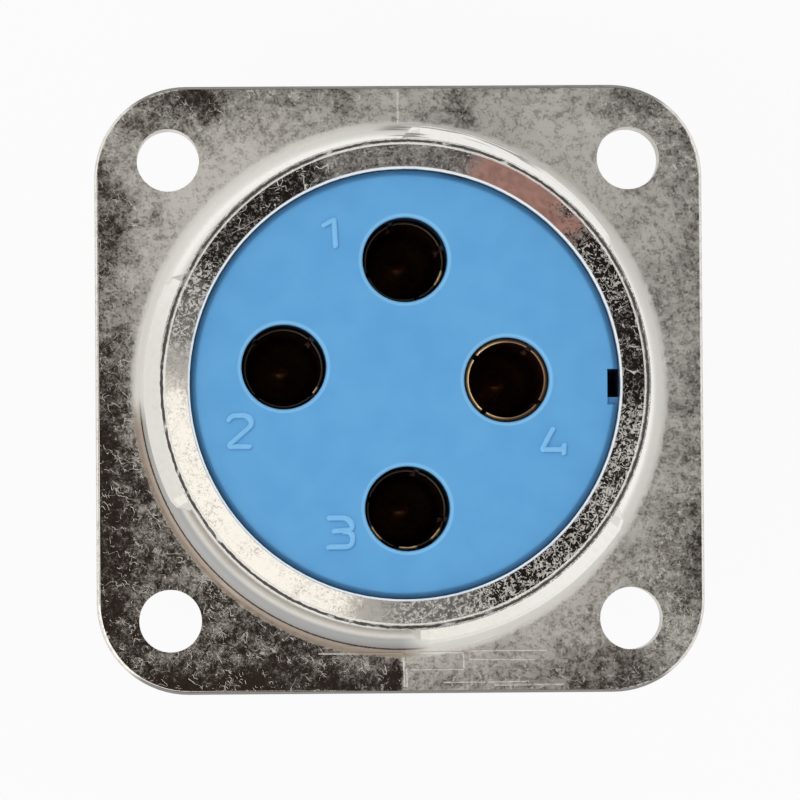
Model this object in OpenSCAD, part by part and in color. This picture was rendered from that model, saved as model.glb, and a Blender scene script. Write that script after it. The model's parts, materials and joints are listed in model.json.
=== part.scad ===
// Square-flange panel receptacle of a circular four-pole power connector.
// The mating face looks along +Z. The origin is the centre of the flange's rear face, which is
// the face that meets the panel. Everything is in millimetres.
// The die-cast shell carries three helical coupling ramps. Two plastic insert halves drop in from
// the rear, clamp the collars of four socket contacts, and are held by an internal retaining ring.

/* [Flange] */
// Side of the square mounting flange
flange_w = 33; // [32:0.5:36]
// Thickness of the flange
flange_t = 2.6; // [2:0.1:2.8]
// Radius of the flange's four corners
flange_corner_r = 5; // [4:0.5:6]
// Rounding of the flange's front edge
flange_edge_r = 0.2; // [0.1:0.05:0.8]
// Distance between neighbouring mounting holes
bolt_pitch = 25; // [24.5:0.25:26]
// Diameter of the mounting holes
bolt_hole_d = 3.4; // [3:0.1:3.6]

/* [Barrel] */
// Outer diameter of the front barrel
barrel_d = 26.1; // [25.8:0.1:26.6]
// Height of the barrel's rim above the flange's front face
barrel_h = 10.4; // [10:0.2:14]
// Diameter of the bore that shows the insert
bore_d = 22.8; // [22.4:0.1:23]
// Chamfer on the outside of the rim, and on the end of the rear barrel
rim_chamfer = 0.3; // [0.2:0.05:0.5]
// Chamfer on the inside of the rim
rim_break = 0.15; // [0.05:0.01:0.3]
// How far the rim's face falls from its inner edge to its outer edge
rim_fall = 0.15; // [0.05:0.05:0.4]
// Fillet between the barrel and the flange
foot_fillet_r = 1.3; // [0.8:0.1:1.5]
// Outer diameter of the rear barrel, which passes through the panel
rear_d = 27.6; // [27:0.1:28]
// Length of the rear barrel behind the flange
rear_h = 11; // [11:0.5:14]
// Diameter of the rear bore, which seats the insert halves
seat_d = 24.2; // [24:0.1:24.6]

/* [Coupling ramps] */
// Angle that each ramp covers
ramp_sweep = 58; // [40:1:70]
// Angle at which the first ramp starts
ramp_start = 32; // [0:1:60]
// How far a ramp stands out of the barrel
ramp_h = 0.8; // [0.5:0.05:0.9]
// Width of a ramp at its root
ramp_w = 2.2; // [1.6:0.1:2.6]
// Climb of the ramps in one full turn
ramp_lead = 30; // [18:1:34]
// Height of a ramp's low end above the flange's front face
ramp_low = 2.6; // [2.4:0.1:3]

/* [Inserts] */
// Depth of the insert's face below the rim
face_recess = 0.7; // [0.3:0.1:1.2]
// Chamfer on the insert's front edge
face_chamfer = 0.3; // [0.1:0.05:0.4]
// Diameter of the contact holes in the face
mouth_d = 4.5; // [4.45:0.05:4.8]
// Rounding of the contact holes at the face
mouth_edge_r = 0.25; // [0.1:0.05:0.4]
// Width of the keyway in the insert's edge
keyway_w = 1.5; // [1:0.1:2]
// Depth of the keyway, measured inwards from the insert's edge
keyway_depth = 0.63; // [0.4:0.01:0.8]
// Length of the keyway behind the face
keyway_len = 6; // [3:0.5:8]
// Depth of the shallow step beside the keyway
keyway_step = 0.35; // [0.2:0.05:0.6]

/* [Contacts] */
// Bore that takes the mating pin
pin_bore_d = 3.95; // [3.6:0.05:4]
// Outer diameter of the slotted tube
tine_d = 4.4; // [4.25:0.05:4.4]
// Width of the slots between the tines
slot_w = 0.3; // [0.2:0.05:0.5]
// Depth of the ordinary contacts below the face
contact_recess = 3; // [2.9:0.1:3.4]
// Depth of the leading contact below the face
lead_recess = 0.6; // [0.3:0.1:1.2]
// Bore of the solder cups
cup_bore_d = 3.2; // [2.8:0.1:3.4]
// How far the solder cups stand out behind the rear insert
cup_reach = 6.9; // [6:0.1:10]

/* [Hidden] */

$fn = 96;
eps = 0.01;
clear = 0.1;                                  // play between pieces that slide together
insert_play = 0.04;                           // play of the front insert in the bore

// Heights along the axis
rim_z = flange_t + barrel_h;
face_z = rim_z - face_recess;
shoulder_z = flange_t + 0.4;                  // step in the shell that stops the inserts
seal_t = 1.2;
collar_top_z = shoulder_z - seal_t;
split_z = -1;                                 // plane where the two insert halves meet
rear_face_z = -8.6;
tail_z = rear_face_z - cup_reach;

// Contact positions: three on the outer ring, and the fourth nearer the middle, so that the
// plug's pins enter one way only. slot_angle turns each contact's four slots.
contact_xy = [[0.05, 6.6], [-6.4, 0.95], [0.1, -6.6], [5.4, 0.2]];
slot_angle = [20, 46, 75, 54];
lead_contact = 3;                             // index of the contact that mates first

// Inserts
insert_r = bore_d / 2 - insert_play;
collar_r = seat_d / 2 - clear;
keyway_step_w = 0.4;

// Holes through the front insert, from the face inwards
mouth_len = 2.8;
chamber_d = 5.2;
pocket_d = 6.2;
pocket_len = 2;

// Contact body
collar_d = pocket_d - 2 * clear;
tail_d = 4.2;
pin_bore_floor_z = 0;
slot_len = 7;
lead_in = 0.1;                                // rounding at the mouth of the pin bore
drill_tip = 118;                              // point angle of the drill that made the bores
cup_floor_z = rear_face_z - 0.7;
cup_cut_len = 3;

// Closing ring round the tines
spring_z = 7.2;
spring_w = 1.2;
spring_groove = 0.1;
spring_t = 0.4;
spring_gap = 0.5;

// Retaining ring and its groove
ring_t = 1;
ring_groove_d = seat_d + 1;
ring_band = 1.5;
ring_open = 34;
ring_lead = 0.5;                              // chamfer that closes the ring as it goes in
lug_d = 3.2;
lug_hole_d = 1.2;

// Rib in the shell that stops the inserts turning
rib_w = 1.6;
rib_h = 0.8;
rib_low_z = -7.4;
rib_top_z = collar_top_z - 0.4;

// Rings of points along each ramp
ramp_steps = 29;
ramp_round = 1;                               // rounding of the ramp's ends
ramp_flank = 20;                              // slope of the flanks
ramp_root = 0.6;                              // how deep the ramp's root sits in the barrel

// ---- shell -------------------------------------------------------------------------------

// Half outline of a plate whose front edge is rounded, for a bar or a corner of the flange
module edge_outline(reach) {
    square([reach - flange_edge_r, flange_t]);
    square([reach, flange_t - flange_edge_r]);
    translate([reach - flange_edge_r, flange_t - flange_edge_r]) circle(r = flange_edge_r);
}

// A strip of the flange that runs along X, as wide as the whole flange
module flange_bar(length) {
    translate([-length / 2, 0, 0]) rotate([90, 0, 90]) linear_extrude(length) {
        edge_outline(flange_w / 2);
        mirror([1, 0]) edge_outline(flange_w / 2);
    }
}

module flange_plate() {
    corner = flange_w / 2 - flange_corner_r;
    flange_bar(2 * corner);
    rotate([0, 0, 90]) flange_bar(2 * corner);
    for (x = [-corner, corner], y = [-corner, corner])
        translate([x, y, 0]) rotate_extrude() edge_outline(flange_corner_r);
}

// Fillet where the barrel leaves the flange
module foot_fillet() {
    rotate_extrude() translate([barrel_d / 2 - eps, flange_t - eps]) difference() {
        square(foot_fillet_r + eps);
        translate([foot_fillet_r + eps, foot_fillet_r + eps]) circle(r = foot_fillet_r);
    }
}

// Outside of both barrels, turned from one outline
module barrel_body() {
    rotate_extrude() polygon([
        [0, -rear_h], [rear_d / 2 - rim_chamfer, -rear_h], [rear_d / 2, rim_chamfer - rear_h],
        [rear_d / 2, eps], [barrel_d / 2, eps], [barrel_d / 2, rim_z - rim_fall - rim_chamfer],
        [barrel_d / 2 - rim_chamfer, rim_z - rim_fall], [bore_d / 2, rim_z], [0, rim_z]]);
}

// Stepped hole through the shell, with the groove of the retaining ring
module barrel_hole() {
    translate([0, 0, shoulder_z - eps]) cylinder(d = bore_d, h = rim_z);
    translate([0, 0, -rear_h - eps]) cylinder(d = seat_d, h = rear_h + shoulder_z + eps);
    translate([0, 0, rear_face_z - ring_t]) cylinder(d = ring_groove_d, h = ring_t);
    translate([0, 0, rim_z - rim_break])
        cylinder(d1 = bore_d, d2 = bore_d + 2 * rim_break, h = rim_break + eps);
    translate([0, 0, -rear_h - eps])
        cylinder(d1 = seat_d + 2 * ring_lead, d2 = seat_d, h = ring_lead + eps);
}

// One ramp: a trapezium section carried up a helix. Near each end the section shrinks along a
// quarter circle, so that the ramp ends in a round nose.
function ramp_size(s) =
    let (from_end = min(s, 1 - s) * ramp_sweep * PI / 180 * barrel_d / 2,
         gone = max(0, 1 - from_end / ramp_round))
    max(0.2, sqrt(1 - gone * gone));
function ramp_section(size) =
    let (skin = barrel_d / 2,
         root = skin - ramp_root,
         crest = skin + ramp_h * size,
         slope = tan(ramp_flank),
         wide = ramp_w / 2 * size + ramp_root * slope,
         nip = 0.18 * size,
         shoulder = wide - (crest - nip - root) * slope)
    [[root, -wide], [crest - nip, -shoulder], [crest, nip - shoulder],
     [crest, shoulder - nip], [crest - nip, shoulder], [root, wide]];
module ramp() {
    ring = len(ramp_section(1));
    last = ramp_steps * ring;
    points = [for (i = [0 : ramp_steps]) let (s = i / ramp_steps, a = s * ramp_sweep)
        for (p = ramp_section(ramp_size(s)))
            [p[0] * cos(a), p[0] * sin(a), p[1] + a / 360 * ramp_lead]];
    sides = [for (i = [0 : ramp_steps - 1], k = [0 : ring - 1]) let (n = (k + 1) % ring)
        [i * ring + n, (i + 1) * ring + n, (i + 1) * ring + k, i * ring + k]];
    ends = [[for (k = [ring - 1 : -1 : 0]) k], [for (k = [0 : ring - 1]) last + k]];
    polyhedron(points, concat(sides, ends), convexity = 4);
}

// Rib inside the rear bore, or the slot that an insert needs to slide over it
module locating_rib(low, top, play = 0) {
    into_wall = 0.4;
    translate([-seat_d / 2 - into_wall, -rib_w / 2 - play, low])
        cube([rib_h + into_wall + play, rib_w + 2 * play, top - low]);
}

module shell() {
    color([0.66, 0.65, 0.63]) {
        difference() {
            union() {
                flange_plate();
                barrel_body();
                foot_fillet();
                for (k = [0 : 2])
                    rotate([0, 0, ramp_start + 120 * k])
                        translate([0, 0, flange_t + ramp_low]) ramp();
            }
            barrel_hole();
            for (x = [-1, 1], y = [-1, 1])
                translate([x * bolt_pitch / 2, y * bolt_pitch / 2, -eps])
                    cylinder(d = bolt_hole_d, h = flange_t + 2 * eps);
        }
        locating_rib(rib_low_z, rib_top_z);
    }
}

// ---- inserts -----------------------------------------------------------------------------

// Cutter that rounds the mouth of a hole. The mouth's plane is z = 0.
module mouth_round(hole_r, edge_r) {
    rotate_extrude() difference() {
        translate([0, -edge_r]) square([hole_r + edge_r, edge_r + eps]);
        translate([hole_r + edge_r, -edge_r]) circle(r = edge_r);
    }
}

// A hole through the front insert: round-edged mouth, chamber for the tines, collar pocket
module contact_chamber() {
    translate([0, 0, face_z - mouth_len - eps]) cylinder(d = mouth_d, h = mouth_len + 1);
    translate([0, 0, face_z]) mouth_round(mouth_d / 2, mouth_edge_r);
    translate([0, 0, split_z]) cylinder(d = chamber_d, h = face_z - mouth_len - split_z);
    translate([0, 0, split_z - eps]) cylinder(d = pocket_d, h = pocket_len + eps);
}

module front_insert() {
    color([0.36, 0.62, 0.85]) difference() {
        rotate_extrude() {
            translate([0, split_z]) square([collar_r, collar_top_z - split_z]);
            polygon([[0, split_z], [insert_r, split_z], [insert_r, face_z - face_chamfer],
                     [insert_r - face_chamfer, face_z], [0, face_z]]);
        }
        for (p = contact_xy) translate(p) contact_chamber();
        translate([insert_r - keyway_depth, -keyway_w / 2, face_z - keyway_len])
            cube([2, keyway_w, keyway_len + 1]);
        translate([insert_r - keyway_depth, -keyway_w / 2 - keyway_step_w, face_z - keyway_step])
            cube([2, keyway_w, keyway_step + 1]);
        locating_rib(split_z - eps, collar_top_z, clear);
    }
}

// The rear half, bored for the tails of the contacts
module rear_insert() {
    color([0.36, 0.62, 0.85]) difference() {
        translate([0, 0, rear_face_z]) cylinder(r = collar_r, h = split_z - rear_face_z);
        for (p = contact_xy)
            translate([p[0], p[1], rear_face_z - eps])
                cylinder(d = tail_d + clear, h = split_z - rear_face_z + 2 * eps);
        locating_rib(rib_low_z - clear, split_z + eps, clear);
    }
}

// ---- contacts ----------------------------------------------------------------------------

function contact_top(k) = face_z - (k == lead_contact ? lead_recess : contact_recess);

// Pin bore with its lead-in and drill point
module pin_bore(top) {
    tip = pin_bore_d / 2 / tan(drill_tip / 2);
    translate([0, 0, pin_bore_floor_z]) cylinder(d = pin_bore_d, h = top);
    translate([0, 0, pin_bore_floor_z - tip]) cylinder(d1 = 0, d2 = pin_bore_d, h = tip + eps / 10);
    translate([0, 0, top]) mouth_round(pin_bore_d / 2, lead_in);
}

// Solder cup at the tail: its bore, and the side cut away for the wire, which faces outwards
module cup_cut(side) {
    tip = cup_bore_d / 2 / tan(drill_tip / 2);
    translate([0, 0, tail_z - eps]) cylinder(d = cup_bore_d, h = cup_floor_z - tail_z + eps);
    translate([0, 0, cup_floor_z - eps / 10]) cylinder(d1 = cup_bore_d, d2 = 0, h = tip);
    rotate([0, 0, side]) translate([0.2, -tail_d, tail_z - eps])
        cube([tail_d, 2 * tail_d, cup_cut_len + eps]);
}

module contact(k) {
    top = contact_top(k);
    p = contact_xy[k];
    translate(p) color([0.83, 0.66, 0.32]) difference() {
        rotate_extrude() polygon([
            [0, tail_z], [tail_d / 2, tail_z], [tail_d / 2, split_z], [collar_d / 2, split_z],
            [collar_d / 2, split_z + pocket_len], [tine_d / 2, split_z + pocket_len],
            [tine_d / 2, spring_z], [tine_d / 2 - spring_groove, spring_z],
            [tine_d / 2 - spring_groove, spring_z + spring_w], [tine_d / 2, spring_z + spring_w],
            [tine_d / 2, top - 0.08], [tine_d / 2 - 0.08, top], [0, top]]);
        pin_bore(top);
        for (turn = [0, 90])
            rotate([0, 0, slot_angle[k] + turn])
                translate([-tine_d, -slot_w / 2, top - slot_len])
                    cube([2 * tine_d, slot_w, slot_len + 1]);
        cup_cut(atan2(p[1], p[0]));
    }
}

// Split spring ring that closes the tines on the pin
module contact_spring(k) {
    inner_r = tine_d / 2 - spring_groove;
    translate([contact_xy[k][0], contact_xy[k][1], spring_z]) color([0.72, 0.72, 0.7]) difference() {
        cylinder(r = inner_r + spring_t, h = spring_w);
        translate([0, 0, -eps]) cylinder(r = inner_r, h = spring_w + 2 * eps);
        rotate([0, 0, slot_angle[k] + 45])
            translate([0, -spring_gap / 2, -eps]) cube([tine_d, spring_gap, spring_w + 2 * eps]);
    }
}

// ---- seal and retaining ring -------------------------------------------------------------

// Square-section rubber ring between the shell's step and the front insert's collar
module seal_ring() {
    color([0.15, 0.15, 0.16]) translate([0, 0, collar_top_z]) difference() {
        cylinder(r = seat_d / 2 - clear / 2, h = seal_t);
        translate([0, 0, -eps]) cylinder(r = insert_r + clear / 2, h = seal_t + 2 * eps);
    }
}

// Internal retaining ring: an open band with a holed lug at each end
module retaining_ring() {
    outer_r = ring_groove_d / 2 - clear / 2;
    inner_r = outer_r - ring_band;
    lug_r = seat_d / 2 - clear - lug_d / 2;
    lug_turn = ring_open / 2 + 4;
    color([0.3, 0.3, 0.31]) translate([0, 0, rear_face_z - ring_t]) difference() {
        union() {
            rotate([0, 0, 180 + ring_open / 2]) rotate_extrude(angle = 360 - ring_open)
                translate([inner_r, 0]) square([ring_band, ring_t]);
            for (side = [-1, 1])
                rotate([0, 0, 180 + side * lug_turn]) translate([lug_r, 0, 0])
                    cylinder(d = lug_d, h = ring_t);
        }
        for (side = [-1, 1])
            rotate([0, 0, 180 + side * lug_turn]) translate([lug_r, 0, -eps])
                cylinder(d = lug_hole_d, h = ring_t + 2 * eps);
    }
}

module contact_1() { contact(0); }
module contact_2() { contact(1); }
module contact_3() { contact(2); }
module contact_4() { contact(3); }
module contact_spring_1() { contact_spring(0); }
module contact_spring_2() { contact_spring(1); }
module contact_spring_3() { contact_spring(2); }
module contact_spring_4() { contact_spring(3); }

shell();
front_insert();
rear_insert();
seal_ring();
retaining_ring();
contact_1();
contact_2();
contact_3();
contact_4();
contact_spring_1();
contact_spring_2();
contact_spring_3();
contact_spring_4();
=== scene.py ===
# %% [markdown]
# # The panel receptacle of a four-pole power connector
#
# The construction model holds every solid at its real size: a die-cast shell, two plastic inserts, four
# socket contacts. This notebook dresses them. It sets up a camera and a light tent, mixes one finish for
# each material, and adds the raised details that are too fine for the solids.

# %% Load the frame
import json
import math

import bpy
import numpy as np
from mathutils import Matrix, Vector


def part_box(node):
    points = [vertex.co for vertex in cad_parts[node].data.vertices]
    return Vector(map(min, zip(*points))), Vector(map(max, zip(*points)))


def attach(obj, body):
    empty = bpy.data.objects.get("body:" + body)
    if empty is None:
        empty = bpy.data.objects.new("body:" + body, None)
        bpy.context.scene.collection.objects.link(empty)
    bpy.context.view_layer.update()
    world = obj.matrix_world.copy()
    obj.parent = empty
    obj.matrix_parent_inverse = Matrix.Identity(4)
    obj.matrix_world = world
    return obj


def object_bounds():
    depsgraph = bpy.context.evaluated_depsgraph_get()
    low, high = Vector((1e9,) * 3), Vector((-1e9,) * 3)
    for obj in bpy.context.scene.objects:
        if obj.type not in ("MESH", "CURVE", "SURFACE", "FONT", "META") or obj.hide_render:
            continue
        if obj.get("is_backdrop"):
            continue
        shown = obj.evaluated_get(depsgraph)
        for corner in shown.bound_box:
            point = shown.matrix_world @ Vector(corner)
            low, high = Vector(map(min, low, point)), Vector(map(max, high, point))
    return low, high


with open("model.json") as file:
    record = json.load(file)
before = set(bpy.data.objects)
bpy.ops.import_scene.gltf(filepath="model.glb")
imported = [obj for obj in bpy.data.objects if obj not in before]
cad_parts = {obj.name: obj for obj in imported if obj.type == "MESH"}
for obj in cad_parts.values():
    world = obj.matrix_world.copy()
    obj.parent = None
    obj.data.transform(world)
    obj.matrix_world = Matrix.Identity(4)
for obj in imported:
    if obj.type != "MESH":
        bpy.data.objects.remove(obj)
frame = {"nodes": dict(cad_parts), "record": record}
cad_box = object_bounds()
MM = 0.001
print("nodes:", ", ".join(sorted(frame["nodes"])))

# %% [markdown]
# ## Sizes
#
# The frame gives the outer sizes. A few inner ones, such as where the flange's face lies, can't be read from
# a box, so they are named here. All lengths below are in millimetres, as on the drawing.

# %% Sizes taken from the frame, and those inside it
half_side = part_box("shell")[1].x / MM
rim_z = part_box("shell")[1].z / MM
face_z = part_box("front_insert")[1].z / MM
floor_z = cad_box[0].z

flange_z = 2.6
bore_r = 11.4
chamfer_r = 12.75
foot_r = 14.35
print(f"flange {2 * half_side:.1f} wide, rim at {rim_z:.1f}, insert's face at {face_z:.1f} mm")

# %% [markdown]
# ## Camera
#
# A product shot of a mating face is taken nearly straight down, from far away and through a long lens, so
# that the barrel hides little of its own foot. The camera leans a degree and a half to the left and to the
# bottom, which is why the barrel's wall shows more on those sides. Aiming is easiest with three vectors:
# one towards the camera, one to its right and one up. Rolling turns the last two about the first.

# %% Camera
scene = bpy.context.scene
lean_x, lean_y, roll = (math.radians(a) for a in (-1.65, -1.51, -0.4))
aim = Vector((0.09, -0.518, 0)) * MM
distance = 400 * MM
view_width = 43.7 * MM
sensor = 36

towards = Vector((math.tan(lean_x), math.tan(lean_y), 1)).normalized()
level = Vector((0, 1, 0)).cross(towards).normalized()
plumb = towards.cross(level)
right = math.cos(roll) * level + math.sin(roll) * plumb
up = math.cos(roll) * plumb - math.sin(roll) * level

lens = bpy.data.cameras.new("camera")
lens.sensor_width = sensor
lens.lens = sensor * distance / view_width
camera = bpy.data.objects.new("camera", lens)
turned_to_aim = Matrix((right, up, towards)).transposed().to_4x4()
camera.matrix_world = Matrix.Translation(aim + towards * distance) @ turned_to_aim
scene.collection.objects.link(camera)
scene.camera = camera
scene.view_settings.view_transform = "Standard"
print(f"lens {lens.lens:.0f} mm at {distance / MM:.0f} mm")

# %% [markdown]
# ## Shader maths as formulas
#
# A finish is a formula over a surface: where it is rough, where it is dark. Written as nodes such a formula
# is hard to read, so two small classes let Python's own operators add the nodes. A `Wire` is the output of a
# node, and a `Graph` is the node tree that it belongs to.

# %% Wire and Graph
class Wire:
    """The output of a node. An operator on it adds a Math node and gives that node's output."""

    def __init__(self, graph, socket):
        self.graph, self.socket = graph, socket

    def maths(self, operation, *operands):
        return self.graph.add("Math", {"operation": operation}, dict(enumerate(operands)))

    def __add__(self, other):
        return self.maths("ADD", self, other)

    def __sub__(self, other):
        return self.maths("SUBTRACT", self, other)

    def __rsub__(self, other):
        return self.maths("SUBTRACT", other, self)

    def __mul__(self, other):
        return self.maths("MULTIPLY", self, other)

    def __pow__(self, other):
        return self.maths("POWER", self, other)

    def __abs__(self):
        return self.maths("ABSOLUTE", self)

    __radd__, __rmul__ = __add__, __mul__

    def above(self, start, end):
        """0 up to start, 1 from end on, and a smooth step between them. start may be the larger one."""
        return self.graph.add("MapRange", {"interpolation_type": "SMOOTHSTEP"},
                              {"Value": self, "From Min": start, "From Max": end})

    def most(self, other):
        return self.maths("MAXIMUM", self, other)

    def least(self, other):
        return self.maths("MINIMUM", self, other)

    def pick(self, low, high):
        """low where this mask is 0, high where it is 1."""
        return self * (high - low) + low


class Graph:
    """A node tree being filled in."""

    def __init__(self, tree):
        self.tree = tree
        tree.nodes.clear()

    def add(self, kind, settings=(), inputs=(), output=0):
        """Adds a node: its settings first, then a value or a wire for each socket. Gives one output."""
        made = self.tree.nodes.new("ShaderNode" + kind)
        for name, value in dict(settings).items():
            setattr(made, name, value)
        for name, value in dict(inputs).items():
            if isinstance(value, Wire):
                self.tree.links.new(value.socket, made.inputs[name])
            else:
                made.inputs[name].default_value = value
        return Wire(self, made.outputs[output]) if made.outputs else None

    def parts(self, vector):
        """The three numbers of a vector."""
        apart = self.add("SeparateXYZ", inputs={0: vector})
        return [Wire(self, socket) for socket in apart.socket.node.outputs]

    def noise(self, place, scale, detail=1.0, distortion=0.0, shift=0.0):
        """Smooth noise about 0.5, with scale lumps in a millimetre. Another shift gives another noise."""
        if shift:
            place = self.add("VectorMath", {"operation": "ADD"}, {0: place, 1: (shift, -shift, 0.5 * shift)})
        return self.add("TexNoise", inputs={"Vector": place, "Scale": scale, "Detail": detail,
                                            "Distortion": distortion})

    def blend(self, mask, low, high):
        """The colour low where the mask is 0, and high where it is 1."""
        return self.add("Mix", {"data_type": "RGBA"}, {0: mask, 6: low, 7: high}, output=2)


# %% [markdown]
# ## Light
#
# Polished metal shows whatever stands round it, so the light is a scene of its own. Small metal parts are
# shot inside a white tent with a hole at the top for the lens. In the hole the metal sees the dark room,
# which is what makes a flat nickel face look dark and its slopes look white. The tent is worked out from the
# direction's height alone. The camera itself sees plain white.

# %% World: a tent of soft light with a dark hole round the lens
tent_light = 1.25
room_colour = (0.038, 0.028, 0.024, 1)
hole_edge, tent_edge = math.cos(math.radians(25)), math.cos(math.radians(45))

world = bpy.data.worlds.new("light_tent")
world.use_nodes = True
scene.world = world
sky = Graph(world.node_tree)
height = sky.parts(sky.add("TexCoord", output="Generated"))[2]
tent = sky.blend(height.above(tent_edge, hole_edge), (tent_light,) * 3 + (1,), room_colour)
seen = sky.add("LightPath", output="Is Camera Ray")
colour = sky.blend(seen, tent, (1, 1, 1, 1))
light = sky.add("Background", inputs={"Color": colour})
sky.add("OutputWorld", inputs={"Surface": light})

# %% [markdown]
# A strip softbox stands at the lower left. Its inner edge comes close to the lens, so the slightly crowned
# rim catches it over a third of its turn and looks cream there.

# %% Key light
key_turn = math.radians(216)
key_low, key_high = math.radians(7.7), math.radians(45)
key_distance = 500 * MM
key_width = 240 * MM
key_light = 1.45

key_tilt = (key_low + key_high) / 2
key_length = 2 * key_distance * math.tan((key_high - key_low) / 2)
key = bpy.data.lights.new("key", "AREA")
key.shape = "RECTANGLE"
key.size, key.size_y = key_width, key_length
key.energy = key_light * math.pi * key_width * key_length
key.color = (1, 0.97, 0.92)
key_lamp = bpy.data.objects.new("key", key)
key_lamp.matrix_world = (Matrix.Rotation(key_turn - math.pi / 2, 4, "Z") @ Matrix.Rotation(-key_tilt, 4, "X")
                         @ Matrix.Translation((0, 0, key_distance)))
key_lamp.visible_camera = False
scene.collection.objects.link(key_lamp)
print(f"key light {key_width / MM:.0f} x {key_length / MM:.0f} mm, {key.energy:.2f} W")

# %% [markdown]
# ## Floor
#
# The floor is a white sheet under the solder cups. To the lens, and in the metal's reflections, it is lit
# from behind and nearly pure white. It stays a little diffuse, so that the object's shadow isn't lost.

# %% Floor
floor_side = 3.0
own_glow = 0.9

floor_mesh = bpy.data.meshes.new("floor")
corners = [(x * floor_side / 2, y * floor_side / 2, floor_z) for x, y in ((-1, -1), (1, -1), (1, 1), (-1, 1))]
floor_mesh.from_pydata(corners, [], [(0, 1, 2, 3)])
floor = bpy.data.objects.new("floor", floor_mesh)
scene.collection.objects.link(floor)
floor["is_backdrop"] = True

paper = bpy.data.materials.new("floor_paper")
paper.use_nodes = True
sheet = Graph(paper.node_tree)
from_lens, from_metal, through_glass = [
    sheet.add("LightPath", output=kind) for kind in ("Is Camera Ray", "Is Glossy Ray", "Is Transmission Ray")]
shown = from_lens.most(from_metal).most(through_glass)
matt = sheet.add("BsdfDiffuse", inputs={"Color": (0.8, 0.8, 0.8, 1)})
glow = sheet.add("Emission", inputs={"Color": (1, 1, 1, 1), "Strength": 1})
mixed = sheet.add("MixShader", inputs={0: shown * own_glow, 1: matt, 2: glow})
sheet.add("OutputMaterial", inputs={"Surface": mixed})
floor_mesh.materials.append(paper)

# %% [markdown]
# ## Finishes
#
# Each finish is one Principled shader. What changes over the surface goes to its colour, roughness and
# normal only. Lengths in a finish are millimetres too: `place` is the object's own coordinates times 1000.

# %% Finish: a material that is being mixed
class Finish(Graph):
    """A material. place is a point of the piece in millimetres, and x, y, z are its parts."""

    def __init__(self, name):
        self.material = bpy.data.materials.new(name)
        self.material.use_nodes = True
        super().__init__(self.material.node_tree)
        local = self.add("TexCoord", output="Object")
        self.place = self.add("VectorMath", {"operation": "SCALE"}, {0: local, "Scale": 1 / MM})
        self.x, self.y, self.z = self.parts(self.place)

    def surface(self, height=None, **sockets):
        """Ends the material. height is the relief in millimetres, and the rest are the shader's sockets."""
        inputs = {name.replace("_", " ").title(): value for name, value in sockets.items()}
        if height is not None:
            inputs["Normal"] = self.add("Bump", inputs={"Height": height, "Distance": MM})
        shader = self.add("BsdfPrincipled", inputs=inputs)
        self.add("OutputMaterial", inputs={"Surface": shader})
        return self.material


# %% [markdown]
# ### Nickel plate on a zinc casting
#
# A barrel-plated casting is never evenly bright. The plate is glossy where the die was polished and satin
# where it wasn't, and rubbing against other parts leaves curly nicks and scratches. Under the tent's dark
# hole a glossy flat looks nearly black, and a rough one catches the tent and looks pale. So one number, the
# paleness, does most of the work: it runs from 0 to 1, and it only drives the roughness.

# %% Nickel: where a point lies
plate = Finish("nickel_plate")
x, y, z = plate.x, plate.y, plate.z
radius = (x * x + y * y) ** 0.5
turn = plate.add("Math", {"operation": "ARCTAN2"}, {0: y, 1: x}) * (180 / math.pi)


def sector(middle, half, soft, angle=turn):
    """1 within half degrees of an angle about the axis, and 0 from soft degrees further on."""
    off = plate.add("Math", {"operation": "FLOORED_MODULO"}, {0: angle - middle + 180, 1: 360}) - 180
    return abs(off).above(half + soft, half)


def band(value, low, high, soft):
    """1 between low and high, and 0 from soft beyond them."""
    return value.above(low - soft, low) * value.above(high + soft, high)


# %% [markdown]
# The shell is one solid, so the finish tells its parts apart by their place. The rim is what lies within
# 0.6 mm of the barrel's end. Its outer chamfer and the break at its inner edge are known by their radius, and
# the wall is what stands above the flange inside the foot's radius.

# %% Nickel: the parts of the shell
on_top = z.above(rim_z - 0.75, rim_z - 0.6)
on_chamfer = radius.above(chamfer_r - 0.01, chamfer_r + 0.01) * on_top
on_break = radius.above(bore_r + 0.11, bore_r + 0.08) * on_top
on_wall = radius.above(foot_r + 0.15, foot_r - 0.25) * z.above(flange_z - 0.1, flange_z) * (1 - on_top)

# %% [markdown]
# The flange's paleness is a sum of broad soft spots on a middling ground. A slow noise shifts every point by
# up to three millimetres before the spots are measured, so they come out as smoke and not as discs. The lower
# left is darker by itself, left of the parting line, and so is a border along the edges.

# %% Nickel: how pale the flange is
drift = 6
warp = plate.add("TexNoise", inputs={"Vector": plate.place, "Scale": 0.6, "Detail": 4}, output=1)
warp = plate.add("VectorMath", {"operation": "SUBTRACT"}, {0: warp, 1: (0.5, 0.5, 0.5)})
warped = plate.add("VectorMath", {"operation": "MULTIPLY_ADD"}, {0: warp, 1: (drift,) * 3, 2: plate.place})
warped_y = plate.parts(warped)[1]


def spots(table, place=warped):
    """A sum of soft round spots. Each has x, y and reach in millimetres, and the amount it adds."""
    total = 0
    for at_x, at_y, reach, amount in table:
        centre = (at_x, at_y, flange_z)
        away = plate.add("VectorMath", {"operation": "DISTANCE"}, {0: place, 1: centre}, output=1)
        total = away.above(reach, 0.25 * reach) * amount + total
    return total


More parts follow.
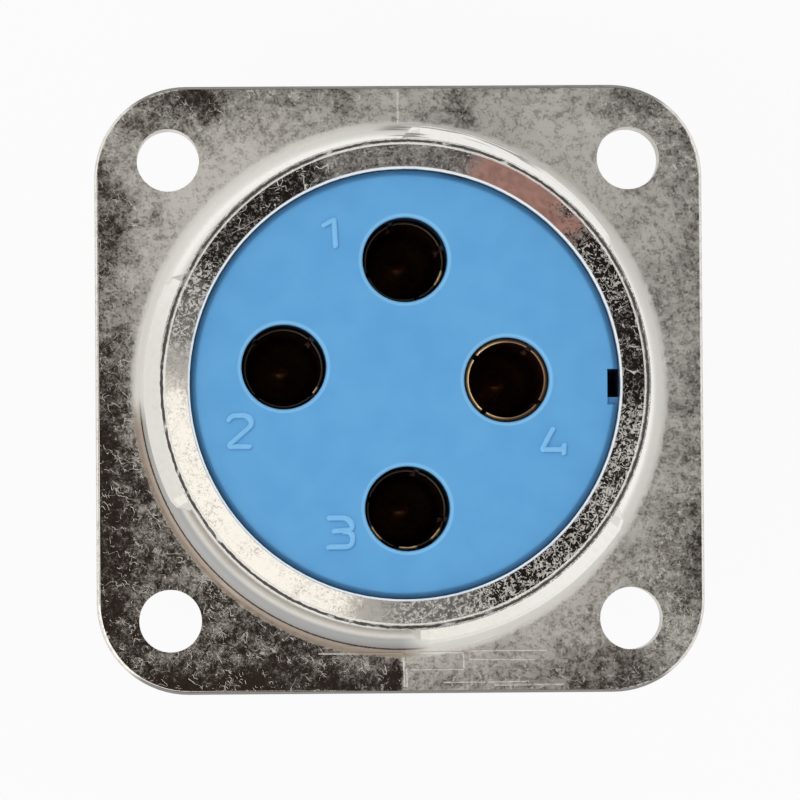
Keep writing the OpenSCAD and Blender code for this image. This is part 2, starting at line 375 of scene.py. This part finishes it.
PALE_SPOTS = [(-10, 10.5, 6, 0.17), (8, 12.5, 6, 0.24), (0.8, 15.5, 3, 0.20), (-12, 14.8, 4.5, -0.22),
              (-16.8, 9, 5, -0.26), (-16.5, 3, 5, -0.10), (13.5, 15.2, 4.5, -0.10), (15.5, -9.5, 5, -0.15),
              (12, -15.5, 5, -0.22), (7, -15.5, 3.5, -0.08), (-2, -14.5, 3, 0.10), (-10.8, -9.6, 3.2, 0.06),
              (-10.7, 15.2, 1.5, -0.15), (3, 15.2, 1.6, -0.15), (12, 8, 4, 0.12)]
ground_pale = 0.56
border = 2.5
low_left = (warped_y * 0.5 + y * 0.5).above(7, -5) * x.above(0.15, -0.15)
edge = abs(x).most(abs(y))
at_border = edge.above(half_side - border, half_side)
pale = spots(PALE_SPOTS) + ground_pale - low_left * 0.40 - at_border * 0.12

# %% [markdown]
# Three noises of 0.9, 2.6 and 8 lumps to a millimetre lie over that, for clouds, mottling and grain.

# %% Nickel: clouds, mottling and grain
smoke = plate.noise(plate.place, 0.9, detail=4, distortion=0.4, shift=5) - 0.5
mottle = plate.noise(plate.place, 2.6, detail=3, distortion=0.3) - 0.5
grain = plate.noise(plate.place, 8, detail=2, shift=13) - 0.5
texture = smoke * 0.5 + mottle * 0.45 + grain * 0.45

# %% [markdown]
# The curly nicks are contour lines of a slow noise, kept here and there by a second one. Specks are the
# middles of scattered cells. Both show where the plate is glossy, and drown where it is pale.

# %% Nickel: nicks and specks
def hairs(scale, width, keep, shift, place=plate.place):
    """Thin curly lines: where a noise crosses its middle, kept where a second noise is above keep."""
    lie = plate.noise(place, scale, detail=0.8, distortion=0.6, shift=shift)
    kept = plate.noise(place, 0.9 * scale, detail=1, shift=shift + 40)
    return abs(lie - 0.5).above(width, 0.2 * width) * kept.above(keep, keep + 0.14)


def specks(scale, size, place=plate.place):
    """Round specks of about size, in millimetres: one in each cell of a grid, scale cells to a millimetre."""
    away = plate.add("TexVoronoi", inputs={"Vector": place, "Scale": scale})
    return away.above(size * scale, 0.4 * size * scale)


curls = hairs(1.5, 0.016, 0.52, 3).most(hairs(2.4, 0.024, 0.52, 60)).most(hairs(0.9, 0.009, 0.55, 90))
fuzz = hairs(3.6, 0.05, 0.48, 21).most(hairs(5.5, 0.07, 0.48, 33))
crowd = plate.noise(plate.place, 0.5, detail=2, shift=70)
dots = specks(1.5, 0.07) * crowd.above(0.5, 0.56)

# %% [markdown]
# The finest of the lines crowd into fuzzy patches, where the flange has rubbed against its neighbours.

# %% Nickel: where the flange is rubbed
FUZZY_SPOTS = [(-10.8, -9.6, 3.6, 0.9), (-9.5, -13, 3, 0.5), (12.5, -9.5, 5, 0.8), (14.5, 5, 5, 0.45),
               (14.5, -3, 5, 0.6), (15, -13.5, 3.5, 0.7), (-14.5, 14, 4, 0.4), (-16, 8, 4, 0.4)]
fuzzy = spots(FUZZY_SPOTS) * crowd.above(0.36, 0.62)
glossy = pale.above(0.68, 0.46)
nicks = (curls * 0.30).most(fuzz * fuzzy * 0.34).most(dots * 0.34) * glossy

# %% [markdown]
# The rim's scratches lie a little along it, because plugs turn there. So they are drawn on a place made of
# angle and radius, where a degree counts as 0.22 mm, its real length on the rim, and a millimetre outwards as
# 1.2 mm. In one sector the rim carries a reddish-brown painted reflection, with a ragged end. In another the
# rim faces the softbox and is cream and nearly clean.

# %% Nickel: the rim
swayed = turn + plate.noise(plate.place, 0.5, detail=4, shift=80) * 20 - 10 + grain * 12
polar = plate.add("CombineXYZ", inputs={0: turn * 0.22, 1: radius * 1.2, 2: z})
wires = hairs(2.4, 0.045, 0.46, 9, polar).most(hairs(3.4, 0.06, 0.46, 17)).most(hairs(5.5, 0.10, 0.48, 29))
cream = sector(218, 38, 14)
# painted reflection: a reddish-brown sector of the rim, with a ragged end
brown_reflection_sector = sector(59, 12, 7, swayed)
rim_brown_reflection = brown_reflection_sector * (on_top - on_chamfer - on_break)
quiet = cream.most(brown_reflection_sector).most(sector(93, 14, 6) * 0.7)
scratched = sector(312, 38, 12).most(sector(165, 12, 10)).most(sector(30, 7, 7) * 0.8)
density = scratched.pick(0.45, 1.1) * (1 - quiet)
rim_pale = (mottle * 0.45 + grain * 0.45 + 0.10 + sector(92, 16, 8) * 0.30 + sector(338, 10, 12) * 0.12
            + sector(274, 10, 12) * 0.34 + sector(166, 8, 12) * 0.26)
rim_nicks = (wires * 0.6 * density).most(dots * 0.7 * (1 - quiet)).most(curls * 0.8 * (1 - quiet))

# %% [markdown]
# The barrel's wall is ringed by fine marks. At its foot the plate carries a painted sheen for most of the way
# round. At the lower left the foot carries other painted light instead: a reddish-brown painted reflection,
# and a darker band and a dark line of painted shade on its fillet. At the top a short stretch of the wall has
# been filed.

# %% Nickel: the wall and the foot of the barrel
rings = plate.noise(plate.add("CombineXYZ", inputs={0: turn * 0.02, 1: radius * 6, 2: z * 6}), 1, detail=2)
low_foot = sector(229, 40, 8) * (1 - on_top)
foot_sheen = band(radius, foot_r - 0.35, foot_r + 0.08, 0.25) * (1 - on_top) * (1 - low_foot)
# painted light at the lower left of the foot: a reddish-brown painted reflection, then painted shade in a
# darker band and a dark line
foot_brown_reflection = band(radius, foot_r - 0.18, foot_r + 0.12, 0.16) * low_foot
foot_shade_band = band(radius, foot_r - 0.72, foot_r - 0.34, 0.26) * low_foot * z.above(4.2, 3.8)
foot_shade_line = band(radius + grain * 0.06, foot_r - 0.27, foot_r - 0.22, 0.035) * low_foot
lines = plate.noise(plate.add("CombineXYZ", inputs={0: turn * 0.06, 1: radius * 7}), 1, detail=1, shift=50)
filed = sector(76, 13, 8) * on_wall * lines.above(0.46, 0.40)

# %% [markdown]
# Now the parts are put together. Each line lays one part's paleness over what is there so far. The last one
# turns paleness into roughness: 0 is nearly a mirror, and 1 is satin.

# %% Nickel: roughness and relief
nick_height = 0.006
pale = pale + texture + nicks + foot_sheen * 0.25 + foot_brown_reflection * 0.3
pale = on_wall.pick(pale, rings.pick(0.40, 0.7) + foot_sheen * 0.5)
# painted highlight: a bright line along the rim's outer crest, which is also made satin
crest_highlight = band(radius, chamfer_r - 0.06, chamfer_r, 0.02) * on_top
pale = on_top.pick(pale, (rim_pale + rim_nicks).most(crest_highlight * 0.95))
pale = rim_brown_reflection.pick(pale, 0.60 + mottle * 0.4 + grain * 0.2)
pale = on_break.pick(pale, 0.75 + smoke * 2)
roughness = pale.most(0).least(1.2) * 0.74 + 0.04
relief = (nicks * (1 - on_top) + rim_nicks * on_top) * nick_height * (1 - on_wall) * (1 - rim_brown_reflection)

# %% [markdown]
# The colour is painted in coats too. Each coat has a mask and a colour, from the plate itself to scuffs,
# filing and painted light: painted shade on the rim, on its chamfer, on the foot and along the flange's upper
# and lower edges, and painted reflections and highlights on the rim and the foot.

# %% Nickel: masks for the coats
wavy = radius + mottle * 0.14
# painted shade: a dark wavy line along the rim's outer chamfer
chamfer_shade_line = band(wavy, chamfer_r + 0.07, chamfer_r + 0.19, 0.03) * on_chamfer * smoke.above(-0.2, -0.05)
scuffed = fuzz * crowd.above(0.45, 0.55) * cream * on_top
# painted dark reflection: the rim's plate is darkened outside its quiet sectors and its nicks
rim_painted_dark = on_top * (1 - quiet) * (1 - rim_nicks * 2).most(0)
corner_r = 5
corner_x, corner_y = [(abs(side) - half_side + corner_r).most(0) for side in (x, y)]
outward = (corner_x ** 2 + corner_y ** 2) ** 0.5
near_end = abs(y).above(half_side - 1.4, half_side - 0.7)
# painted shade: a dark band along the flange's upper and lower edges, which also covers the upper part of
# their sides
flange_edge_shade = outward.above(corner_r - 0.2, corner_r - 0.14) * near_end * z.above(1.5, 2)

# %% Nickel: the coats
bright_plate, thin_plate = (0.70, 0.68, 0.64, 1), (0.44, 0.40, 0.36, 1)
cool_wall, warm_wall = (0.83, 0.82, 0.79, 1), (0.70, 0.68, 0.635, 1)
COATS = [
    (on_wall * rings.pick(0.65, 1), plate.blend(sector(228, 50, 40), cool_wall, warm_wall)),
    # painted highlight: the foot's sheen is painted nearly white
    (foot_sheen * 0.8, (0.86, 0.85, 0.82, 1)),
    # painted dark reflection on the rim
    (rim_painted_dark, (0.30, 0.295, 0.285, 1)),
    # painted highlight: the plate's colour is lifted and evened in the sector that mirrors the softbox
    (cream * on_top * 0.9, (0.66, 0.645, 0.61, 1)),
    (scuffed * 0.6, (0.30, 0.27, 0.24, 1)),
    # painted shade and a painted reflection at the lower left of the foot, and dark lines of painted shade on
    # the foot and the chamfer
    (foot_shade_band, (0.35, 0.35, 0.345, 1)),
    (foot_brown_reflection, (0.46, 0.39, 0.33, 1)),
    (foot_shade_line.most(chamfer_shade_line), (0.07, 0.062, 0.055, 1)),
    (filed * 0.7, (0.16, 0.15, 0.14, 1)),
    # painted reflection: reddish brown on the rim
    (rim_brown_reflection, (0.54, 0.31, 0.26, 1)),
    # painted highlight: bright lines along the rim's inner break and its outer crest
    (on_break.most(crest_highlight * 0.7), (0.97, 0.95, 0.91, 1)),
    # painted shade along the flange's upper and lower edges
    (flange_edge_shade, (0.22, 0.21, 0.20, 1)),
]
metal = plate.blend((mottle + grain).above(0.02, -0.2) * 0.55, bright_plate, thin_plate)
for mask, coat in COATS:
    metal = plate.blend(mask, metal, coat)
nickel = plate.surface(height=relief, base_color=metal, roughness=roughness, metallic=1.0)
print(len(COATS), "coats on the nickel,", len(plate.tree.nodes), "nodes")

# %% [markdown]
# ### Blue plastic
#
# The inserts are moulded from a filled thermoplastic. It is satin and very even: faint clouds in the colour
# and a fine skin are all that keeps it from looking like paint. The holes' edges carry a painted highlight, a
# paler blue.
#
# The holes and their contacts need a radius about the nearest contact's axis. The record's mounts give the
# axes. The fourth contact leads, so what lies round it is told apart by a mask.

# %% How far a point is from the nearest contact
socket_xy = [[value / MM for value in mount["pos_m"][:2]]
             for mount in frame["record"]["mounts"] if mount["name"].startswith("socket_")]
LEAD = 3
print("contacts at", [[round(value, 2) for value in at] for at in socket_xy], "mm")


def off_contact(finish):
    """The distance from the nearest contact's axis, and a mask that is 1 round the leading contact."""
    apart = [((finish.x - at_x) ** 2 + (finish.y - at_y) ** 2) ** 0.5 for at_x, at_y in socket_xy]
    nearest = apart[0]
    for distance_to in apart[1:]:
        nearest = nearest.least(distance_to)
    return nearest, apart[LEAD].above(3.1, 3.0)


# %% [markdown]
# The blue goes on in coats as well: a painted highlight on the lip round each hole, painted shade in the
# hole's throat, which is brown where the leading contact's gold lights it, and a darker edge in the shell's
# shade.

# %% Blue plastic
moulding = Finish("blue_plastic")
off_axis, lead = off_contact(moulding)
from_axis = (moulding.x * moulding.x + moulding.y * moulding.y) ** 0.5
clouds = moulding.noise(moulding.place, 0.5, detail=3)
skin = moulding.noise(moulding.place, 6, detail=2)
hole_lip_highlight = off_axis.above(2.5, 2.38) * off_axis.above(2.24, 2.3) * moulding.z.above(face_z - 0.3, face_z - 0.2)
hole_throat_shade = off_axis.above(2.3, 2.26) * moulding.z.above(face_z - 0.3, face_z - 0.8) * moulding.z.above(-0.5, 0)

blue = moulding.blend(clouds.above(0.3, 0.7), (0.105, 0.372, 0.722, 1), (0.120, 0.402, 0.752, 1))
# painted highlight: a paler blue on the lip round each hole
blue = moulding.blend(hole_lip_highlight * 0.8, blue, (0.22, 0.55, 0.88, 1))
# painted shade in the hole's throat, brown as painted reflected light round the leading contact
blue = moulding.blend(hole_throat_shade, blue, moulding.blend(lead, (0.02, 0.03, 0.05, 1), (0.20, 0.12, 0.07, 1)))
blue = moulding.blend(from_axis.above(10.9, 11.3) * 0.8, blue, (0.035, 0.15, 0.34, 1))
plastic = moulding.surface(height=skin * 0.004, base_color=blue, roughness=skin.pick(0.42, 0.58))

# %% [markdown]
# The numerals stand proud and are a paler blue than the face. Their sides towards the lower right carry a
# painted shade, a darker blue, so that such thin strokes stand off the face. The normal says which way a side
# faces.

# %% Raised blue plastic
raised = Finish("blue_plastic_raised")
stroke_mottle = raised.noise(raised.place, 5, detail=2)
facing = raised.add("TexCoord", output="Normal")
sideways, upwards, _ = raised.parts(facing)
# painted shade on the strokes' sides that face the lower right
shaded = (sideways - upwards).above(0.25, 0.9)
raised_blue = raised.blend(stroke_mottle, (0.17, 0.48, 0.82, 1), (0.23, 0.56, 0.90, 1))
raised_blue = raised.blend(shaded, raised_blue, (0.08, 0.28, 0.56, 1))
raised_plastic = raised.surface(base_color=raised_blue, roughness=stroke_mottle.pick(0.35, 0.5))

# %% [markdown]
# ### Gold on brass
#
# The contacts are turned from brass and gold plated. The solder cups behind the insert are clean. The tines'
# tips carry painted light: a dark painted reflection with a few painted glints on the three deep contacts, and
# on the leading one a painted highlight on one side and a brown painted reflection elsewhere. Inside, below
# the tips, the plate is painted dark brown, a painted shade.

# %% Gold plate
gilding = Finish("gold_plate")
off_axis, lead = off_contact(gilding)
deep_tip_z, lead_tip_z = face_z - 3, face_z - 0.6
tarnish = gilding.noise(gilding.place, 3, detail=3)
bright = gilding.blend(tarnish.above(0.35, 0.7), (0.93, 0.70, 0.38, 1), (0.78, 0.52, 0.26, 1))
front = gilding.z.above(-0.5, 0) * off_axis.above(2.35, 2.25)
# painted shade: darker brown inside the contacts, below their tips
inside_shade = (lead.pick(deep_tip_z, lead_tip_z) - gilding.z).above(0.08, 0.5) * front
# painted highlight on the leading tip's left side, with a darker brown on the rest and on its outer ring
lit_side = (gilding.x - socket_xy[LEAD][0]).above(0.3, -1.2)
lead_tip = gilding.blend(lit_side, (0.24, 0.15, 0.09, 1), bright)
lead_tip = gilding.blend(off_axis.above(2.08, 2.14), lead_tip, (0.26, 0.17, 0.10, 1))

# x, y and reach of the painted glints on a deep contact's tip
GLINTS = [(-1.55, -7.89, 0.5), (1.71, -7.95, 0.45), (0.2, -8.75, 0.6), (1.95, 5.71, 0.5), (-4.75, -0.35, 0.4)]
glint = 0
for at_x, at_y, reach in GLINTS:
    centre = (at_x, at_y, deep_tip_z)
    away = gilding.add("VectorMath", {"operation": "DISTANCE"}, {0: gilding.place, 1: centre}, output=1)
    glint = away.above(reach, 0.6 * reach) + glint
deep_tip = gilding.blend(glint, (0.06, 0.05, 0.04, 1), bright)
tip = gilding.blend(lead, deep_tip, lead_tip)
gold_colour = gilding.blend(front, bright, gilding.blend(inside_shade, tip, (0.20, 0.10, 0.07, 1)))
turned = gilding.noise(gilding.add("CombineXYZ", inputs={0: 0, 1: 0, 2: gilding.z}), 9, detail=2)
gold = gilding.surface(height=turned * 0.002, base_color=gold_colour,
                       roughness=tarnish.pick(0.22, 0.40), metallic=1.0)

# %% [markdown]
# ### Steels and rubber
#
# The spring rings are blued, drawn wire. The retaining ring is phosphated, which leaves fine dark crystals on
# the steel, so it is only half metallic. The seal is black silicone with a dusty bloom.

# %% Spring steel
spring = Finish("spring_steel")
drawn = spring.noise(spring.place, 8, detail=2)
spring_steel = spring.surface(base_color=(0.11, 0.11, 0.13, 1), roughness=drawn.pick(0.3, 0.5), metallic=1.0)

# %% Phosphated steel
phosphate = Finish("ring_steel")
crystals = phosphate.noise(phosphate.place, 12, detail=2)
ring_colour = phosphate.blend(crystals.above(0.3, 0.7), (0.10, 0.10, 0.105, 1), (0.17, 0.17, 0.18, 1))
ring_steel = phosphate.surface(height=crystals * 0.01, base_color=ring_colour,
                               roughness=crystals.pick(0.45, 0.7), metallic=0.6)

# %% Silicone rubber
silicone = Finish("seal_rubber")
bloomed = silicone.noise(silicone.place, 5, detail=2)
rubber = silicone.surface(height=bloomed * 0.01, base_color=(0.03, 0.03, 0.03, 1),
                          roughness=bloomed.pick(0.5, 0.8))

# %% [markdown]
# The record says which material slot each node has. The nodes keep their meshes and only get the finish.

# %% Dress the nodes
finishes = {"nickel_plate": nickel, "blue_plastic": plastic, "gold_plate": gold,
            "spring_steel": spring_steel, "ring_steel": ring_steel, "seal_rubber": rubber}
for subpart in frame["record"]["subparts"]:
    piece = frame["nodes"][subpart["node"]]
    if not piece.material_slots:
        piece.data.materials.append(None)
    for place in piece.material_slots:
        place.material = finishes[subpart["material_slot"]]
    print(subpart["node"], "->", subpart["material_slot"])

# %% [markdown]
# ## Raised strokes
#
# The numerals on the insert, the parting line and the die marks are all one thing: a low round ridge that
# follows a line on a flat face. So one function makes them all. It carries a half-round section along a
# path, lets it shrink along a quarter circle at both ends, and closes each end with a small cap.

# %% A ridge along a path
def rounded(points, reach):
    """A polyline with its corners rounded: each corner is a parabola that starts and ends reach from it."""
    points = np.array(points, float)
    run = [points[0]]
    for before, corner, after in zip(points, points[1:], points[2:]):
        arms = [end - corner for end in (before, after)]
        ends = [corner + arm * min(reach / np.linalg.norm(arm), 0.48) for arm in arms]
        t = np.linspace(0, 1, 9)[:, None]
        run.extend((1 - t) ** 2 * ends[0] + 2 * t * (1 - t) * corner + t ** 2 * ends[1])
    run.append(points[-1])
    return np.array(run)


def even(path, step):
    """The same path with points an equal distance apart, about step."""
    lengths = np.r_[0, np.cumsum(np.linalg.norm(np.diff(path, axis=0), axis=1))]
    wanted = np.linspace(0, lengths[-1], max(4, int(lengths[-1] / step)))
    return np.column_stack([np.interp(wanted, lengths, path[:, k]) for k in (0, 1)]), wanted


def stroke_grid(points, half_width, height, base_z, reach):
    """Rings of points along a path. Across it, at angle a, a ring lies half_width * cos(a) to the side and
    height * sin(a) up. Near an end, at distance d, both shrink to the height of a circle at d."""
    path, along = even(rounded(points, reach), 0.25 * half_width)
    ahead = np.gradient(path, axis=0)
    ahead /= np.linalg.norm(ahead, axis=1)[:, None]
    aside = np.column_stack([-ahead[:, 1], ahead[:, 0]])
    to_end = np.minimum(along, along[-1] - along) / half_width
    smallest, sunk, across = 0.02, -0.02, 11
    size = np.sqrt(np.clip(1 - np.clip(1 - to_end, 0, 1) ** 2, smallest, 1))
    a = np.linspace(0, math.pi, across)
    out = np.r_[np.cos(a), -1, 1] * half_width
    lift = np.r_[np.sin(a) * height, sunk, sunk]
    flat = path[:, None, :] + (size[:, None] * out)[:, :, None] * aside[:, None, :]
    lifted = base_z + np.where(lift > 0, size[:, None] * lift, lift)
    return np.concatenate([flat, lifted[:, :, None]], axis=2)


def skin_of(grid):
    """Corner points and faces of a closed tube: quads between neighbouring rings, and a cap at each end."""
    rings, around = grid.shape[:2]
    i, k = np.meshgrid(np.arange(rings - 1), np.arange(around), indexing="ij")
    n = (k + 1) % around
    quads = np.stack([i * around + k, (i + 1) * around + k, (i + 1) * around + n, i * around + n], axis=2)
    caps = [list(range(around)), list(range(rings * around - 1, (rings - 1) * around - 1, -1))]
    return grid.reshape(-1, 3), quads.reshape(-1, 4).tolist() + caps


def add_piece(name, tubes, material):
    """One object made of several closed tubes, in metres, which rides on the body and has a finish."""
    points, faces, start = [], [], 0
    for grid in tubes:
        tube_points, tube_faces = skin_of(grid)
        points.append(tube_points)
        faces += [[start + corner for corner in face] for face in tube_faces]
        start += len(tube_points)
    mesh = bpy.data.meshes.new(name)
    mesh.from_pydata(np.concatenate(points) * MM, [], faces)
    mesh.polygons.foreach_set("use_smooth", np.ones(len(mesh.polygons), bool))
    mesh.materials.append(material)
    piece = bpy.data.objects.new(name, mesh)
    scene.collection.objects.link(piece)
    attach(piece, "root")
    print(name, len(mesh.polygons), "faces")
    return piece


# %% [markdown]
# The four numerals say which contact is which. They were cut into the mould with a round cutter, so each
# stroke stands up with a round top.

# %% Numerals
NUMERALS = {
    "numeral_1": [[(-4.36, 8.37), (-3.69, 8.72), (-3.6, 7.18)]],
    "numeral_2": [[(-9.42, -1.98), (-9.15, -1.62), (-8.3, -1.62), (-8.05, -2.1),
                   (-9.42, -3.27), (-8.08, -3.27)]],
    "numeral_3": [[(-4.2, -7.08), (-3.0, -7.08), (-2.75, -7.72), (-3.95, -7.78)],
                  [(-3.4, -7.78), (-2.8, -7.85), (-2.82, -8.6), (-4.24, -8.62)]],
    "numeral_4": [[(7.91, -2.31), (7.26, -3.52), (8.56, -3.54)], [(8.43, -3.17), (8.41, -3.87)]],
}
# how far each numeral's corners are rounded
CORNER = {"numeral_1": 0.04, "numeral_2": 0.3, "numeral_3": 0.35, "numeral_4": 0.08}
stroke_half, stroke_height = 0.16, 0.12
for name, strokes in NUMERALS.items():
    tubes = [stroke_grid(s, stroke_half, stroke_height, face_z, CORNER[name]) for s in strokes]
    add_piece(name, tubes, raised_plastic)

# %% [markdown]
# Where the two halves of the die met, a thin line of metal stands up across the flange, above and below the
# barrel. Below it, loose inserts of the die have left the outlines of their edges.

# %% Parting line and die marks
edge_y = half_side - 0.35
PARTING = [[(0.0, foot_r), (0.0, edge_y)], [(0.15, -14.35), (0.16, -edge_y)], [(0.3, -15.1), (0.3, -edge_y)]]
DIE_MARKS = [
    [(-3, -13.95), (0.31, -13.95), (0.33, -14.5)],
    [(-4.5, -14.32), (0.08, -14.32), (0.15, -15.4)],
    [(0.9, -14.29), (3.35, -14.29), (3.4, -15.2), (0.5, -15.2)],
    [(3.7, -14.2), (7.9, -14.2)], [(3.7, -14.66), (7.2, -14.7)],
    [(2.3, -15.9), (6.9, -15.88)], [(5, -16.06), (8.8, -16.06)],
]
# half width, height, z and rounding of the two kinds of line
parting = [stroke_grid(s, 0.05, 0.04, flange_z, 0.1) for s in PARTING]
marks = [stroke_grid(s, 0.045, 0.03, flange_z, 0.08) for s in DIE_MARKS]
add_piece("parting_line", parting, nickel)
add_piece("die_marks", marks, nickel)

# %% [markdown]
#
# The dressed scene's box is measured again, and the last line prints how far it has grown past the
# construction model's box at the high corner. Nothing above may reach outside the construction model's
# box.

# %% Size
dressed_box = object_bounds()
grown = [round((after - before) / MM, 3) for before, after in zip(cad_box[1], dressed_box[1])]
print("grown by", grown, "mm at the high corner")
